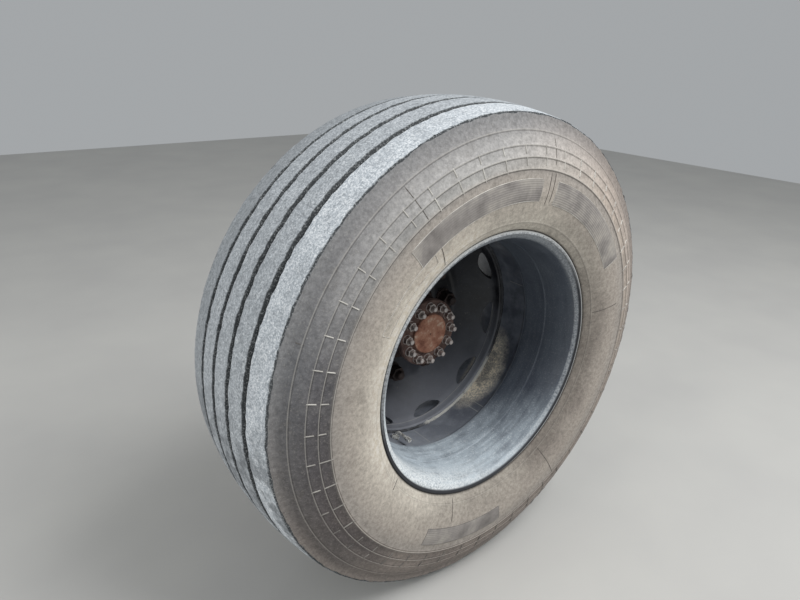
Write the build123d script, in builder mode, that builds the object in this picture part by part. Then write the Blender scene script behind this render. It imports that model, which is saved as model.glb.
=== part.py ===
"""Drive wheel of a street sweeper truck: a wide single tyre on a deep-dish steel wheel, with its hub,
brake drum, axle shaft and the axle end that carries them. Millimetres.

The origin is the centre of the axle end's mounting flange, on its inboard face. +Y runs inboard along
the axle, so the dished outer side of the wheel faces -Y, and +Z is up. Every outline of a turned piece
is a list of (y, radius) points, where y is measured inboard from the middle plane of the tyre.
"""
import os
from math import cos, pi, radians, sin

from build123d import *

# The middle plane of the tyre, outboard of the mounting flange
WHEEL_Y = -340.0

# Tyre, 385/65 R22.5
CROWN_R = 539.0
SHOULDER_R = 524.0
SHOULDER_Y = 150.0
BEAD_GAP = 0.2
GROOVE_DEPTH = 10.0
GROOVE_WIDTH = 13.0
GROOVE_YS = (-87.0, -28.5, 28.5, 87.0)
# Raised rings on each sidewall: radius, half height of the ring along the wall
RING_RADII = (493.0, 465.5, 443.5, 424.0)
RING_HALF = 1.6
RING_RISE = 1.8

# Rim, 22.5 x 12.25 with 15 degree seats
HEEL_Y = 155.6
FLANGE_R = 298.5
FLANGE_BEND = 10.0
RIM_WALL = 7.0
WELL_R = 256.0
TROUGH_R = 264.6

# Disc of the wheel
DISC_FACE_Y = 154.0
MOUNT_FACE_Y = 168.0
DISC_BORE_R = 110.4
STUD_CIRCLE_R = 142.875
STUD_COUNT = 10
STUD_START_DEG = 10.0
STUD_R = 11.0
DISC_HOLE_R = 13.4
HAND_HOLE_COUNT = 10
HAND_HOLE_START_DEG = -80.0
HAND_HOLE_Y = 87.0
HAND_HOLE_CIRCLE_R = 243.0
HAND_HOLE_LEAN_DEG = 47.0
# Each hole is straight beside the skirt and bowed towards the hub, with round corners
HAND_HOLE_LENGTH = 94.0
HAND_HOLE_STRAIGHT = 13.0
HAND_HOLE_BOW = 12.0
HAND_HOLE_CORNER_R = 8.0

# Hub, drum and axle shaft
DRUM_WEB = 9.0
HUB_FLANGE_Y = MOUNT_FACE_Y + DRUM_WEB
HUB_FLANGE = 20.0
HUB_FLANGE_R = 162.0
PILOT_R = 109.9
HUB_NOSE_Y = 60.0
HUB_NOSE_R = 80.0
DRIVE_FLANGE = 16.0
DRIVE_FLANGE_R = 82.0
DRIVE_FACE_Y = HUB_NOSE_Y - DRIVE_FLANGE
BOSS_R = 49.0
BOSS_RISE = 8.0
DRIVE_STUD_COUNT = 12
DRIVE_STUD_CIRCLE_R = 66.0
DRIVE_STUD_R = 6.0
DRIVE_STUD_TIP_Y = 22.0
DRIVE_NUT_HEIGHT = 11.0
DRUM_R = 190.5
DRUM_END_Y = 300.0
SHAFT_R = 22.0
SPLINE_R = 24.0
SPLINE_COUNT = 24
SPLINE_START_Y = 430.0
SPLINE_END_Y = 490.0

# Axle end
JOURNAL_GAP = 0.05
OUTER_JOURNAL_R = 35.0
INNER_JOURNAL_R = 45.0
SPINDLE_R = 54.0
SPINDLE_BORE_R = 28.0
SPINDLE_TIP_Y = 66.0
AXLE_FLANGE_R = 115.0
AXLE_FLANGE = 28.0
AXLE_BOLT_COUNT = 10
AXLE_BOLT_CIRCLE_R = 95.0
AXLE_BOLT_HOLE_R = 8.5
FLANGE_FACE_Y = -WHEEL_Y
SHIELD_Y = FLANGE_FACE_Y - AXLE_FLANGE

# Valve
VALVE_DEG = -113.0
VALVE_Y = 28.0
FIT_GAP = 0.05


def row(points):
    """The (y, radius) points of an outline, moved from the tyre's middle plane to the row frame."""
    return [(WHEEL_Y + y, radius) for y, radius in points]


def across(y):
    """The plane across the axle at y, facing outboard."""
    return Plane.XZ.offset(-(WHEEL_Y + y))


def save(piece, name):
    """Labels a finished piece and writes its file."""
    piece.label = name
    export_step(piece, f"parts/{name}.step")


os.makedirs("parts", exist_ok=True)


# Tyre: the carcass, with its cavity open towards the rim
def wall_y(radius):
    """Half width of the tyre outside the shoulder ring, on the arc of the upper sidewall."""
    centre_y, centre_r, bend = -7.6, 385.0, 201.6
    return centre_y + (bend**2 - (radius - centre_r) ** 2) ** 0.5


SIDE_TOP_R = 508.0
SIDE_MID_R = 457.0
SIDE_LOW_R = 412.0
with BuildPart() as tyre:
    with BuildSketch(Plane.YZ) as tyre_section:
        with BuildLine():
            flange_centre = (HEEL_Y + FLANGE_BEND, FLANGE_R - FLANGE_BEND)
            bead_bend = FLANGE_BEND + BEAD_GAP
            slant = bead_bend * cos(pi / 4)
            for side in (-1, 1):
                outline = [
                    (side * SHOULDER_Y, SHOULDER_R),
                    (side * wall_y(SIDE_TOP_R), SIDE_TOP_R),
                ]
                Polyline(*row(outline))
                ThreePointArc(*row([(side * wall_y(r), r) for r in (SIDE_TOP_R, SIDE_MID_R, SIDE_LOW_R)]))
                low_start = (side * wall_y(SIDE_LOW_R), SIDE_LOW_R)
                low_end = (side * 180.0, 322.0)
                ThreePointArc(*row([low_start, (side * 192.6, 365.0), low_end]))
                bead_top = (side * flange_centre[0], flange_centre[1] + bead_bend)
                Polyline(*row([low_end, (side * 169.5, 303.0), bead_top]))
                bead_mid = (side * (flange_centre[0] - slant), flange_centre[1] + slant)
                bead_low = (side * (flange_centre[0] - bead_bend), flange_centre[1])
                ThreePointArc(*row([bead_top, bead_mid, bead_low]))
                bead_toe = (side * 118.0, 276.4)
                cavity_foot = (side * 122.0, 288.0)
                Polyline(*row([bead_low, (side * 153.3, 285.9), bead_toe, cavity_foot]))
                ThreePointArc(*row([cavity_foot, (side * 172.0, 372.0), (side * 150.0, 470.0)]))
                ThreePointArc(*row([(side * 150.0, 470.0), (side * 138.0, 488.0), (side * 118.0, 497.0)]))
            ThreePointArc(*row([(-SHOULDER_Y, SHOULDER_R), (0, CROWN_R), (SHOULDER_Y, SHOULDER_R)]))
            ThreePointArc(*row([(-118.0, 497.0), (0, 505.0), (118.0, 497.0)]))
        make_face()
    revolve(axis=Axis.Y)
    with BuildSketch(Plane.YZ) as groove_section:
        for y in GROOVE_YS:
            with Locations((WHEEL_Y + y, CROWN_R - 4.5)):
                Rectangle(GROOVE_WIDTH, 2 * GROOVE_DEPTH)
    revolve(axis=Axis.Y, mode=Mode.SUBTRACT)
    with BuildSketch(Plane.YZ) as ring_section:
        for side in (-1, 1):
            for radius in RING_RADII:
                base = side * (wall_y(radius) - 2.0)
                with BuildLine():
                    Polyline(
                        *row(
                            [
                                (base, radius - 2 * RING_HALF),
                                (base + side * (2.0 + RING_RISE), radius - RING_HALF),
                                (base + side * (2.0 + RING_RISE), radius + RING_HALF),
                                (base, radius + 2 * RING_HALF),
                            ]
                        ),
                        close=True,
                    )
                make_face()
    revolve(axis=Axis.Y)
save(tyre.part, "tyre")

# Rim: one rolled section, with a curled flange at each side and a drop well between the seats
SEAT_TAPER = [(153.5, 285.6), (118.0, 276.1)]
with BuildPart() as rim:
    with BuildSketch(Plane.YZ):
        with BuildLine():
            bend_y = HEEL_Y + FLANGE_BEND
            bend_r = FLANGE_R - FLANGE_BEND
            inner_bend = FLANGE_BEND - RIM_WALL
            for side in (-1, 1):
                outer_arc = [
                    (side * bend_y, FLANGE_R),
                    (side * (bend_y - FLANGE_BEND * cos(pi / 4)), bend_r + FLANGE_BEND * sin(pi / 4)),
                    (side * HEEL_Y, bend_r),
                ]
                inner_arc = [
                    (side * bend_y, bend_r + inner_bend),
                    (side * (bend_y - inner_bend * cos(pi / 4)), bend_r + inner_bend * sin(pi / 4)),
                    (side * (bend_y - inner_bend), bend_r),
                ]
                ThreePointArc(*row(outer_arc))
                ThreePointArc(*row(inner_arc))
                lip_y = side * (bend_y + 2.0)
                lip = [(lip_y, FLANGE_R - 1.5), (lip_y, bend_r + inner_bend)]
                Polyline(*row([outer_arc[0], *lip, inner_arc[0]]))
            Polyline(
                *row(
                    [(-HEEL_Y, bend_r)]
                    + [(-y, r) for y, r in SEAT_TAPER]
                    + [(-83.0, 272.2), (-38.0, WELL_R + RIM_WALL), (-31.0, WELL_R + RIM_WALL)]
                    + [(-20.0, TROUGH_R + RIM_WALL), (84.0, TROUGH_R + RIM_WALL), (100.0, 273.0)]
                    + SEAT_TAPER[::-1]
                    + [(HEEL_Y, bend_r)]
                )
            )
            seat_inside = [(118.0, 269.0), (151.0, 278.0), (159.0, 282.0), (bend_y - inner_bend, bend_r)]
            Polyline(
                *row(
                    [(-y, r) for y, r in seat_inside[::-1]]
                    + [(-83.0, 265.2), (-36.0, WELL_R), (-28.0, WELL_R), (-17.0, TROUGH_R)]
                    + [(84.0, TROUGH_R), (101.0, 266.0)]
                    + seat_inside
                )
            )
        make_face()
    revolve(axis=Axis.Y)
    valve_way = (cos(radians(VALVE_DEG)), 0, sin(radians(VALVE_DEG)))
    with BuildSketch(Plane((0, WHEEL_Y + VALVE_Y, 0), z_dir=valve_way)):
        Circle(7.5)
    extrude(amount=FLANGE_R, mode=Mode.SUBTRACT)
save(rim.part, "rim")

# Disc: a pressed dish, its skirt welded in the well and its flat middle clamped to the hub
with BuildPart() as wheel_disc:
    with BuildSketch(Plane.YZ):
        with BuildLine():
            skirt_edge = [(68.0, TROUGH_R), (56.0, TROUGH_R), (56.0, 257.0), (58.5, 254.4), (63.0, 254.4)]
            Polyline(*row(skirt_edge))
            ThreePointArc(*row([(63.0, 254.4), (74.0, 252.4), (83.5, 246.2)]))
            Polyline(*row([(83.5, 246.2), (148.0, 185.9)]))
            ThreePointArc(*row([(148.0, 185.9), (152.5, 180.3), (DISC_FACE_Y, 173.0)]))
            Polyline(
                *row(
                    [
                        (DISC_FACE_Y, 173.0),
                        (DISC_FACE_Y, DISC_BORE_R),
                        (MOUNT_FACE_Y, DISC_BORE_R),
                        (MOUNT_FACE_Y, 179.0),
                    ]
                )
            )
            ThreePointArc(*row([(MOUNT_FACE_Y, 179.0), (166.0, 185.5), (161.0, 192.2)]))
            Polyline(*row([(161.0, 192.2), (95.3, 253.6)]))
            ThreePointArc(*row([(95.3, 253.6), (82.5, 261.8), (68.0, TROUGH_R)]))
        make_face()
    revolve(axis=Axis.Y)
    with BuildSketch(across(MOUNT_FACE_Y)):
        with PolarLocations(STUD_CIRCLE_R, STUD_COUNT, STUD_START_DEG):
            Circle(DISC_HOLE_R)
    extrude(amount=MOUNT_FACE_Y, mode=Mode.SUBTRACT)
    # Each hand hole is punched square to the slope of the dish
    lean = radians(HAND_HOLE_LEAN_DEG)
    for i in range(HAND_HOLE_COUNT):
        turn = radians(HAND_HOLE_START_DEG + i * 360 / HAND_HOLE_COUNT)
        centre = (HAND_HOLE_CIRCLE_R * cos(turn), WHEEL_Y + HAND_HOLE_Y, HAND_HOLE_CIRCLE_R * sin(turn))
        punch = (sin(lean) * cos(turn), cos(lean), sin(lean) * sin(turn))
        with BuildSketch(Plane(centre, x_dir=(-sin(turn), 0, cos(turn)), z_dir=punch)) as hand_hole:
            with BuildLine():
                left = (-HAND_HOLE_LENGTH / 2, HAND_HOLE_STRAIGHT)
                right = (HAND_HOLE_LENGTH / 2, HAND_HOLE_STRAIGHT)
                ThreePointArc(left, (0, -HAND_HOLE_BOW), right)
                Line(right, left)
            make_face()
            fillet(hand_hole.vertices(), HAND_HOLE_CORNER_R)
        extrude(amount=30.0, both=True, mode=Mode.SUBTRACT)
save(wheel_disc.part, "wheel_disc")

# Hub: a casting with a long nose, a pilot for the wheel and drum, and the stud flange
with BuildPart() as hub:
    with BuildSketch(Plane.YZ):
        with BuildLine():
            Polyline(
                *row(
                    [
                        (HUB_NOSE_Y, 56.0),
                        (HUB_NOSE_Y, HUB_NOSE_R),
                        (MOUNT_FACE_Y - 23.0, HUB_NOSE_R + 4.0),
                        (MOUNT_FACE_Y - 19.0, 104.0),
                        (MOUNT_FACE_Y - 15.0, PILOT_R),
                        (HUB_FLANGE_Y, PILOT_R),
                        (HUB_FLANGE_Y, HUB_FLANGE_R),
                        (HUB_FLANGE_Y + HUB_FLANGE, HUB_FLANGE_R),
                        (HUB_FLANGE_Y + HUB_FLANGE, 120.0),
                        (HUB_FLANGE_Y + HUB_FLANGE + 14.0, 98.0),
                        (242.0, 91.0),
                        (242.0, 60.0),
                        (230.0, 60.0),
                        (230.0, INNER_JOURNAL_R + JOURNAL_GAP),
                        (192.0, INNER_JOURNAL_R + JOURNAL_GAP),
                        (192.0, 62.0),
                        (104.0, 62.0),
                        (104.0, OUTER_JOURNAL_R + JOURNAL_GAP),
                        (74.0, OUTER_JOURNAL_R + JOURNAL_GAP),
                        (74.0, 56.0),
                    ]
                ),
                close=True,
            )
        make_face()
    revolve(axis=Axis.Y)
    with BuildSketch(across(HUB_FLANGE_Y + HUB_FLANGE)):
        with PolarLocations(STUD_CIRCLE_R, STUD_COUNT, STUD_START_DEG):
            Circle(STUD_R + FIT_GAP)
    extrude(amount=HUB_FLANGE, mode=Mode.SUBTRACT)
    with BuildSketch(across(HUB_NOSE_Y + 26.0)):
        with PolarLocations(DRIVE_STUD_CIRCLE_R, DRIVE_STUD_COUNT):
            Circle(DRIVE_STUD_R + FIT_GAP)
    extrude(amount=26.0, mode=Mode.SUBTRACT)
save(hub.part, "hub")

# Brake drum: cast, its web clamped between the wheel and the hub
with BuildPart() as brake_drum:
    with BuildSketch(Plane.YZ):
        with BuildLine():
            Polyline(
                *row(
                    [
                        (MOUNT_FACE_Y, DISC_BORE_R),
                        (MOUNT_FACE_Y, 174.0),
                        (MOUNT_FACE_Y + 13.0, 193.0),
                        (MOUNT_FACE_Y + 25.0, 204.0),
                        (282.0, 207.0),
                        (284.0, 216.0),
                        (DRUM_END_Y, 216.0),
                        (DRUM_END_Y, DRUM_R),
                        (MOUNT_FACE_Y + 31.0, DRUM_R),
                        (MOUNT_FACE_Y + 23.0, 184.0),
                        (HUB_FLANGE_Y, 166.0),
                        (HUB_FLANGE_Y, DISC_BORE_R),
                    ]
                ),
                close=True,
            )
        make_face()
    revolve(axis=Axis.Y)
    with BuildSketch(across(HUB_FLANGE_Y)):
        with PolarLocations(STUD_CIRCLE_R, STUD_COUNT, STUD_START_DEG):
            Circle(STUD_R + 0.6)
    extrude(amount=DRUM_WEB, mode=Mode.SUBTRACT)
save(brake_drum.part, "brake_drum")

# Wheel studs: pressed through the hub flange from behind
STUD_HEAD = 9.0
STUD_TIP_Y = DISC_FACE_Y - 42.0
with BuildPart() as wheel_studs:
    with BuildSketch(across(HUB_FLANGE_Y + HUB_FLANGE)):
        with PolarLocations(STUD_CIRCLE_R, STUD_COUNT, STUD_START_DEG):
            Circle(STUD_R)
    extrude(amount=HUB_FLANGE_Y + HUB_FLANGE - STUD_TIP_Y)
    with BuildSketch(across(HUB_FLANGE_Y + HUB_FLANGE + STUD_HEAD)):
        with PolarLocations(STUD_CIRCLE_R, STUD_COUNT, STUD_START_DEG):
            Circle(16.0)
    extrude(amount=STUD_HEAD)
save(wheel_studs.part, "wheel_studs")

# Wheel nuts: hexagon nuts with a captive flange
NUT_ACROSS_FLATS = 33.0
NUT_HEIGHT = 30.0
NUT_FLANGE_R = 23.0
NUT_FLANGE = 6.0
with BuildPart() as wheel_nuts:
    with BuildSketch(across(DISC_FACE_Y)):
        with PolarLocations(STUD_CIRCLE_R, STUD_COUNT, STUD_START_DEG):
            Circle(NUT_FLANGE_R)
    extrude(amount=NUT_FLANGE)
    with BuildSketch(across(DISC_FACE_Y - NUT_FLANGE)):
        with PolarLocations(STUD_CIRCLE_R, STUD_COUNT, STUD_START_DEG):
            RegularPolygon(NUT_ACROSS_FLATS / 2, 6, major_radius=False)
    extrude(amount=NUT_HEIGHT - NUT_FLANGE)
    with BuildSketch(across(DISC_FACE_Y)):
        with PolarLocations(STUD_CIRCLE_R, STUD_COUNT, STUD_START_DEG):
            Circle(STUD_R + FIT_GAP)
    extrude(amount=NUT_HEIGHT, mode=Mode.SUBTRACT)
save(wheel_nuts.part, "wheel_nuts")

# Axle shaft: one forging, with a drive flange bolted to the hub's nose and a splined inner end
with BuildPart() as axle_shaft:
    with BuildSketch(Plane.YZ):
        with BuildLine():
            Polyline(
                *row(
                    [
                        (DRIVE_FACE_Y - BOSS_RISE, 0.0),
                        (DRIVE_FACE_Y - BOSS_RISE, BOSS_R - 3.0),
                        (DRIVE_FACE_Y - BOSS_RISE + 3.0, BOSS_R),
                        (DRIVE_FACE_Y, BOSS_R),
                        (DRIVE_FACE_Y, DRIVE_FLANGE_R),
                        (HUB_NOSE_Y, DRIVE_FLANGE_R),
                        (HUB_NOSE_Y, 32.0),
                        (HUB_NOSE_Y + 3.0, 26.0),
                        (SPINDLE_TIP_Y, SHAFT_R),
                        (SPLINE_START_Y, SHAFT_R),
                        (SPLINE_START_Y + 4.0, SPLINE_R),
                        (SPLINE_END_Y - 3.0, SPLINE_R),
                        (SPLINE_END_Y, SPLINE_R - 3.0),
                        (SPLINE_END_Y, 0.0),
                    ]
                ),
                close=True,
            )
        make_face()
    revolve(axis=Axis.Y)
    with BuildSketch(across(DRIVE_FACE_Y)):
        with PolarLocations(DRIVE_STUD_CIRCLE_R, DRIVE_STUD_COUNT):
            Circle(DRIVE_STUD_R + 0.5)
    extrude(amount=-DRIVE_FLANGE, mode=Mode.SUBTRACT)
    with BuildSketch(across(SPLINE_END_Y)):
        with PolarLocations(SPLINE_R, SPLINE_COUNT):
            Rectangle(4.0, 3.2)
    extrude(amount=SPLINE_END_Y - SPLINE_START_Y - 8.0, mode=Mode.SUBTRACT)
save(axle_shaft.part, "axle_shaft")

# Drive flange studs and their nuts
with BuildPart() as drive_flange_studs:
    with BuildSketch(across(HUB_NOSE_Y + 25.0)):
        with PolarLocations(DRIVE_STUD_CIRCLE_R, DRIVE_STUD_COUNT):
            Circle(DRIVE_STUD_R)
    extrude(amount=HUB_NOSE_Y + 25.0 - DRIVE_STUD_TIP_Y)
save(drive_flange_studs.part, "drive_flange_studs")
with BuildPart() as drive_flange_nuts:
    with BuildSketch(across(DRIVE_FACE_Y)):
        with PolarLocations(DRIVE_STUD_CIRCLE_R, DRIVE_STUD_COUNT):
            RegularPolygon(9.5, 6, major_radius=False)
            Circle(DRIVE_STUD_R + FIT_GAP, mode=Mode.SUBTRACT)
    extrude(amount=DRIVE_NUT_HEIGHT)
save(drive_flange_nuts.part, "drive_flange_nuts")

# Valve: a clamp nut on the well, an elbow and a straight stem that points outboard, with its cap
outward = Vector(cos(radians(VALVE_DEG)), 0, sin(radians(VALVE_DEG)))
valve_foot = Vector(0, WHEEL_Y + VALVE_Y, 0) + outward * (TROUGH_R - 0.5)
ELBOW_R = 9.0
VALVE_RISE = 6.0
STEM_LENGTH = 26.0
STEM_R = 3.9
with BuildPart() as valve_stem:
    with BuildSketch(Plane(valve_foot, z_dir=-outward)):
        RegularPolygon(9.0, 6, major_radius=False)
    extrude(amount=VALVE_RISE)
    with BuildLine():
        rise_end = valve_foot - outward * (VALVE_RISE + 2.0)
        bend_end = rise_end - outward * ELBOW_R + Vector(0, -ELBOW_R, 0)
        half_way = Vector(0, -ELBOW_R * (1 - cos(pi / 4)), 0)
        bend_mid = rise_end - outward * (ELBOW_R * sin(pi / 4)) + half_way
        Line(valve_foot - outward * 2.0, rise_end)
        ThreePointArc(rise_end, bend_mid, bend_end)
        Line(bend_end, bend_end + Vector(0, -STEM_LENGTH, 0))
    with BuildSketch(Plane(valve_foot - outward * 2.0, z_dir=-outward)):
        Circle(STEM_R)
    sweep()
    with BuildSketch(Plane(valve_foot, z_dir=outward)):
        Circle(7.3)
    extrude(amount=RIM_WALL + 1.0)
    with BuildSketch(Plane(valve_foot + outward * (RIM_WALL + 0.5), z_dir=outward)):
        Circle(11.0)
    extrude(amount=3.0)
save(valve_stem.part, "valve_stem")
with BuildPart() as valve_cap:
    with BuildSketch(Plane(bend_end + Vector(0, -STEM_LENGTH, 0), z_dir=(0, -1, 0))):
        RegularPolygon(5.2, 6, major_radius=False)
    extrude(amount=12.0)
save(valve_cap.part, "valve_cap")

# Balance weight: clipped on the inboard flange, opposite the valve
WEIGHT_ARC_DEG = 9.0
with BuildPart() as balance_weight:
    with BuildSketch(Plane.YZ.rotated((0, -(VALVE_DEG + 180.0) + 90.0 + WEIGHT_ARC_DEG / 2, 0))):
        with BuildLine():
            seat_side = [(151.6, 277.6), (159.4, 281.4), (163.4, 285.2)]
            Polyline(*row(seat_side + [(162.0, 275.0), (153.0, 271.5)]), close=True)
        make_face()
    revolve(axis=Axis.Y, revolution_arc=WEIGHT_ARC_DEG)
save(balance_weight.part, "balance_weight")

# Spindle: the fixed stub that the hub turns on, with the flange that bolts to the axle casing
with BuildPart() as spindle:
    with BuildSketch(Plane.YZ):
        with BuildLine():
            Polyline(
                *row(
                    [
                        (SPINDLE_TIP_Y + 2.0, SPINDLE_BORE_R),
                        (SPINDLE_TIP_Y + 2.0, OUTER_JOURNAL_R - 2.0),
                        (SPINDLE_TIP_Y + 4.0, OUTER_JOURNAL_R),
                        (176.0, OUTER_JOURNAL_R),
                        (184.0, INNER_JOURNAL_R),
                        (238.0, INNER_JOURNAL_R),
                        (247.0, SPINDLE_R),
                        (SHIELD_Y, SPINDLE_R),
                        (SHIELD_Y, AXLE_FLANGE_R),
                        (FLANGE_FACE_Y - 2.0, AXLE_FLANGE_R),
                        (FLANGE_FACE_Y, AXLE_FLANGE_R - 2.0),
                        (FLANGE_FACE_Y, SPINDLE_BORE_R),
                    ]
                ),
                close=True,
            )
        make_face()
    revolve(axis=Axis.Y)
    with BuildSketch(across(FLANGE_FACE_Y)):
        with PolarLocations(AXLE_BOLT_CIRCLE_R, AXLE_BOLT_COUNT):
            Circle(AXLE_BOLT_HOLE_R)
    extrude(amount=AXLE_FLANGE, mode=Mode.SUBTRACT)
save(spindle.part, "spindle")

# Backing plate: pressed sheet that closes the drum
PLATE = 4.0
with BuildPart() as backing_plate:
    with BuildSketch(Plane.YZ):
        with BuildLine():
            Polyline(
                *row(
                    [
                        (SHIELD_Y - PLATE, SPINDLE_R + FIT_GAP),
                        (SHIELD_Y - PLATE, 140.0),
                        (SHIELD_Y + 2.0, 150.0),
                        (SHIELD_Y + 2.0, 172.0),
                        (SHIELD_Y - PLATE, 184.0),
                        (SHIELD_Y - PLATE, 222.0),
                        (294.0, 222.0),
                        (294.0, 226.0),
                        (SHIELD_Y, 226.0),
                        (SHIELD_Y, 186.5),
                        (SHIELD_Y + 6.0, 175.0),
                        (SHIELD_Y + 6.0, 147.0),
                        (SHIELD_Y, 137.0),
                        (SHIELD_Y, SPINDLE_R + FIT_GAP),
                    ]
                ),
                close=True,
            )
        make_face()
    revolve(axis=Axis.Y)
    with BuildSketch(across(SHIELD_Y)):
        with PolarLocations(AXLE_BOLT_CIRCLE_R, AXLE_BOLT_COUNT):
            Circle(AXLE_BOLT_HOLE_R)
    extrude(amount=PLATE, mode=Mode.SUBTRACT)
save(backing_plate.part, "backing_plate")
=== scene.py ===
"""Looks of a truck wheel on its drive hub: a wide single tyre, its deep-dish steel wheel, the hub with its
drum and shaft, and the fixed axle end.

Every new piece is a turned or carried section. The axle lies along Y, so a point of a section at radius r
and place y goes to x = r cos a, z = r sin a for the angle a round the axle. Sections are in millimetres,
with y counted inboard from the tyre's middle plane, and the meshes are in metres.
"""
from functools import partial

import bmesh
import bpy
import numpy as np
from mathutils import Matrix, Vector


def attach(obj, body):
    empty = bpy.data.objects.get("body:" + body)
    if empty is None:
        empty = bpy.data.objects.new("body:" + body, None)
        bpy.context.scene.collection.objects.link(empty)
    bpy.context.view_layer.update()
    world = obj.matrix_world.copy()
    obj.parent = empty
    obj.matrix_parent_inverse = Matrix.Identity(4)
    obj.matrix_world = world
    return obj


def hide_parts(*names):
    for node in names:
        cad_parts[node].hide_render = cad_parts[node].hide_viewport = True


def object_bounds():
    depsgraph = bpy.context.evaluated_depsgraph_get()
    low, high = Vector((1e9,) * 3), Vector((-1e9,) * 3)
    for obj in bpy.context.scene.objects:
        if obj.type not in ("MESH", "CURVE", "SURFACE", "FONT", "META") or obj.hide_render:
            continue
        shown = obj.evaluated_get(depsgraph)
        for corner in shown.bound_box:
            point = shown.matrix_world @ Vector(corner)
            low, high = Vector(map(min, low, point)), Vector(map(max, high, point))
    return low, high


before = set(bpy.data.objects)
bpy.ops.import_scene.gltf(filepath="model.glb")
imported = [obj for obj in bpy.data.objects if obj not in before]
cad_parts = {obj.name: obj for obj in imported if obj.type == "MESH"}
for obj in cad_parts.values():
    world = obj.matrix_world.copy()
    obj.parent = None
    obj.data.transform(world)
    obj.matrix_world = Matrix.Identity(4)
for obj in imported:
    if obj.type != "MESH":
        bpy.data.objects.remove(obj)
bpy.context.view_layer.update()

# The tyre is a steel-belted radial moulded in black rubber. The road has scrubbed its five ribs pale, and
# dust lies on its sidewalls, thicker towards the bead. Its own air presses it on the rim's tapered seats.
WHEEL_Y = -340.0
CROWN_R = 539.0
SHOULDER_R = 524.0
SHOULDER_Y = 150.0
WIDEST_R, STRAIGHT_R = 385.0, 508.0
GROOVES = ((-87.0, 66, 0.3), (-28.5, 60, 1.9), (28.5, 60, 4.1), (87.0, 66, 5.2))
GROOVE_DEPTH = 10.0
TYRE_STEPS = 550
dice = np.random.default_rng(22)


def once_round(steps):
    """Angles once round the axle, 2 pi k / steps."""
    return np.linspace(0.0, 2 * np.pi, steps, endpoint=False)


def wall(r):
    """Half width of the tyre at radius r: a parabola by the bead, an arc above it, then a straight line."""
    low = 194.0 - 0.0035 * (WIDEST_R - r) ** 2
    high = -7.6 + np.sqrt(np.maximum(201.6**2 - (r - WIDEST_R) ** 2, 0.0))
    straight = 152.1 - 0.13 * (r - STRAIGHT_R)
    return np.where(r < WIDEST_R, low, np.where(r < STRAIGHT_R, high, straight))


def round_noise(steps, reach, height):
    """One value for each step round a circle: random numbers, averaged over a window of `reach` steps."""
    window = np.hanning(reach + 2)[1:-1]
    raw = dice.normal(size=steps)
    smooth = np.convolve(np.concatenate([raw, raw[: reach - 1]]), window, "valid")
    return height * smooth / smooth.std()


def carried_round(y, r, angles):
    """A section carried round the axle: (y, r) at angle a goes to (r cos a, middle plane + y, r sin a)."""
    a = angles[:, None]
    y, r = np.broadcast_arrays(y + 0 * a, r + 0 * a)
    return np.stack([r * np.cos(a), WHEEL_Y + y, r * np.sin(a)], axis=-1)


def cells(rows, columns, rows_close=True):
    """The corners of each cell of a grid: (i, j), (i + 1, j), (i + 1, j + 1), (i, j + 1), row by row."""
    i = np.arange(rows if rows_close else rows - 1)[:, None]
    j = np.arange(columns)[None, :]
    down, across = (i + 1) % rows, (j + 1) % columns
    corners = (i * columns + j, down * columns + j, down * columns + across, i * columns + across)
    return np.stack(np.broadcast_arrays(*corners), axis=-1).reshape(-1, 4)


def make_piece(name, points, faces, body, slot, material, sharp=32.0):
    """Puts points in millimetres and four-cornered faces in a mesh, faces outward, and rides it on a body.

    The volume that the faces enclose is the sum of p0 . (p1 x p2) + p0 . (p2 x p3), six times over. Where
    it is below zero the faces look inward, and their corners are counted the other way.
    """
    points = points.reshape(-1, 3) / 1000.0
    centred = points - points.mean(axis=0)
    a, b, c, d = (centred[faces[:, k]] for k in range(4))
    if ((a * np.cross(b, c)).sum() + (a * np.cross(c, d)).sum()) < 0:
        faces = faces[:, ::-1]
    mesh = bpy.data.meshes.new(name)
    mesh.vertices.add(len(points))
    mesh.vertices.foreach_set("co", points.ravel())
    mesh.loops.add(faces.size)
    mesh.loops.foreach_set("vertex_index", faces.ravel().astype(np.int32))
    mesh.polygons.add(len(faces))
    mesh.polygons.foreach_set("loop_start", np.arange(0, faces.size, 4, dtype=np.int32))
    mesh.update(calc_edges=True)
    mesh.validate()
    mesh.shade_smooth()
    mesh.set_sharp_from_angle(angle=np.radians(sharp))
    mesh.materials.append(material)
    made = bpy.data.objects.new(name, mesh)
    bpy.context.scene.collection.objects.link(made)
    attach(made, body)
    return made


def linear(code):
    """An sRGB hex colour as linear: c / 12.92 up to 0.04045, and ((c + 0.055) / 1.055) ** 2.4 above."""
    srgb = [int(code[k : k + 2], 16) / 255 for k in (1, 3, 5)]
    return [c / 12.92 if c <= 0.04045 else ((c + 0.055) / 1.055) ** 2.4 for c in srgb] + [1.0]


def add_node(tree, kind, *values, out=0, stops=(), **named):
    """Adds a shader node and returns one of its outputs.

    The values go to its first inputs in turn: numbers, hex colours or the sockets that feed them. Names
    with a capital are other inputs, and names without one are the node's own settings. The stops of a
    colour ramp are (place from 0 to 1, hex colour) pairs.
    """
    new = tree.nodes.new("ShaderNode" + kind)
    for key, value in named.items():
        if key[0].islower():
            setattr(new, key, value)
    inputs = {key: value for key, value in named.items() if key[0].isupper()}
    for key, value in {**dict(enumerate(values)), **inputs}.items():
        if isinstance(value, bpy.types.NodeSocket):
            tree.links.new(value, new.inputs[key])
        else:
            new.inputs[key].default_value = linear(value) if isinstance(value, str) else value
    if stops:
        elements = new.color_ramp.elements
        while len(elements) < len(stops):
            elements.new(0.5)
        for element, (position, code) in zip(elements, stops):
            element.position = position
            element.color = linear(code)
    return new.outputs[out]


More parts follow.
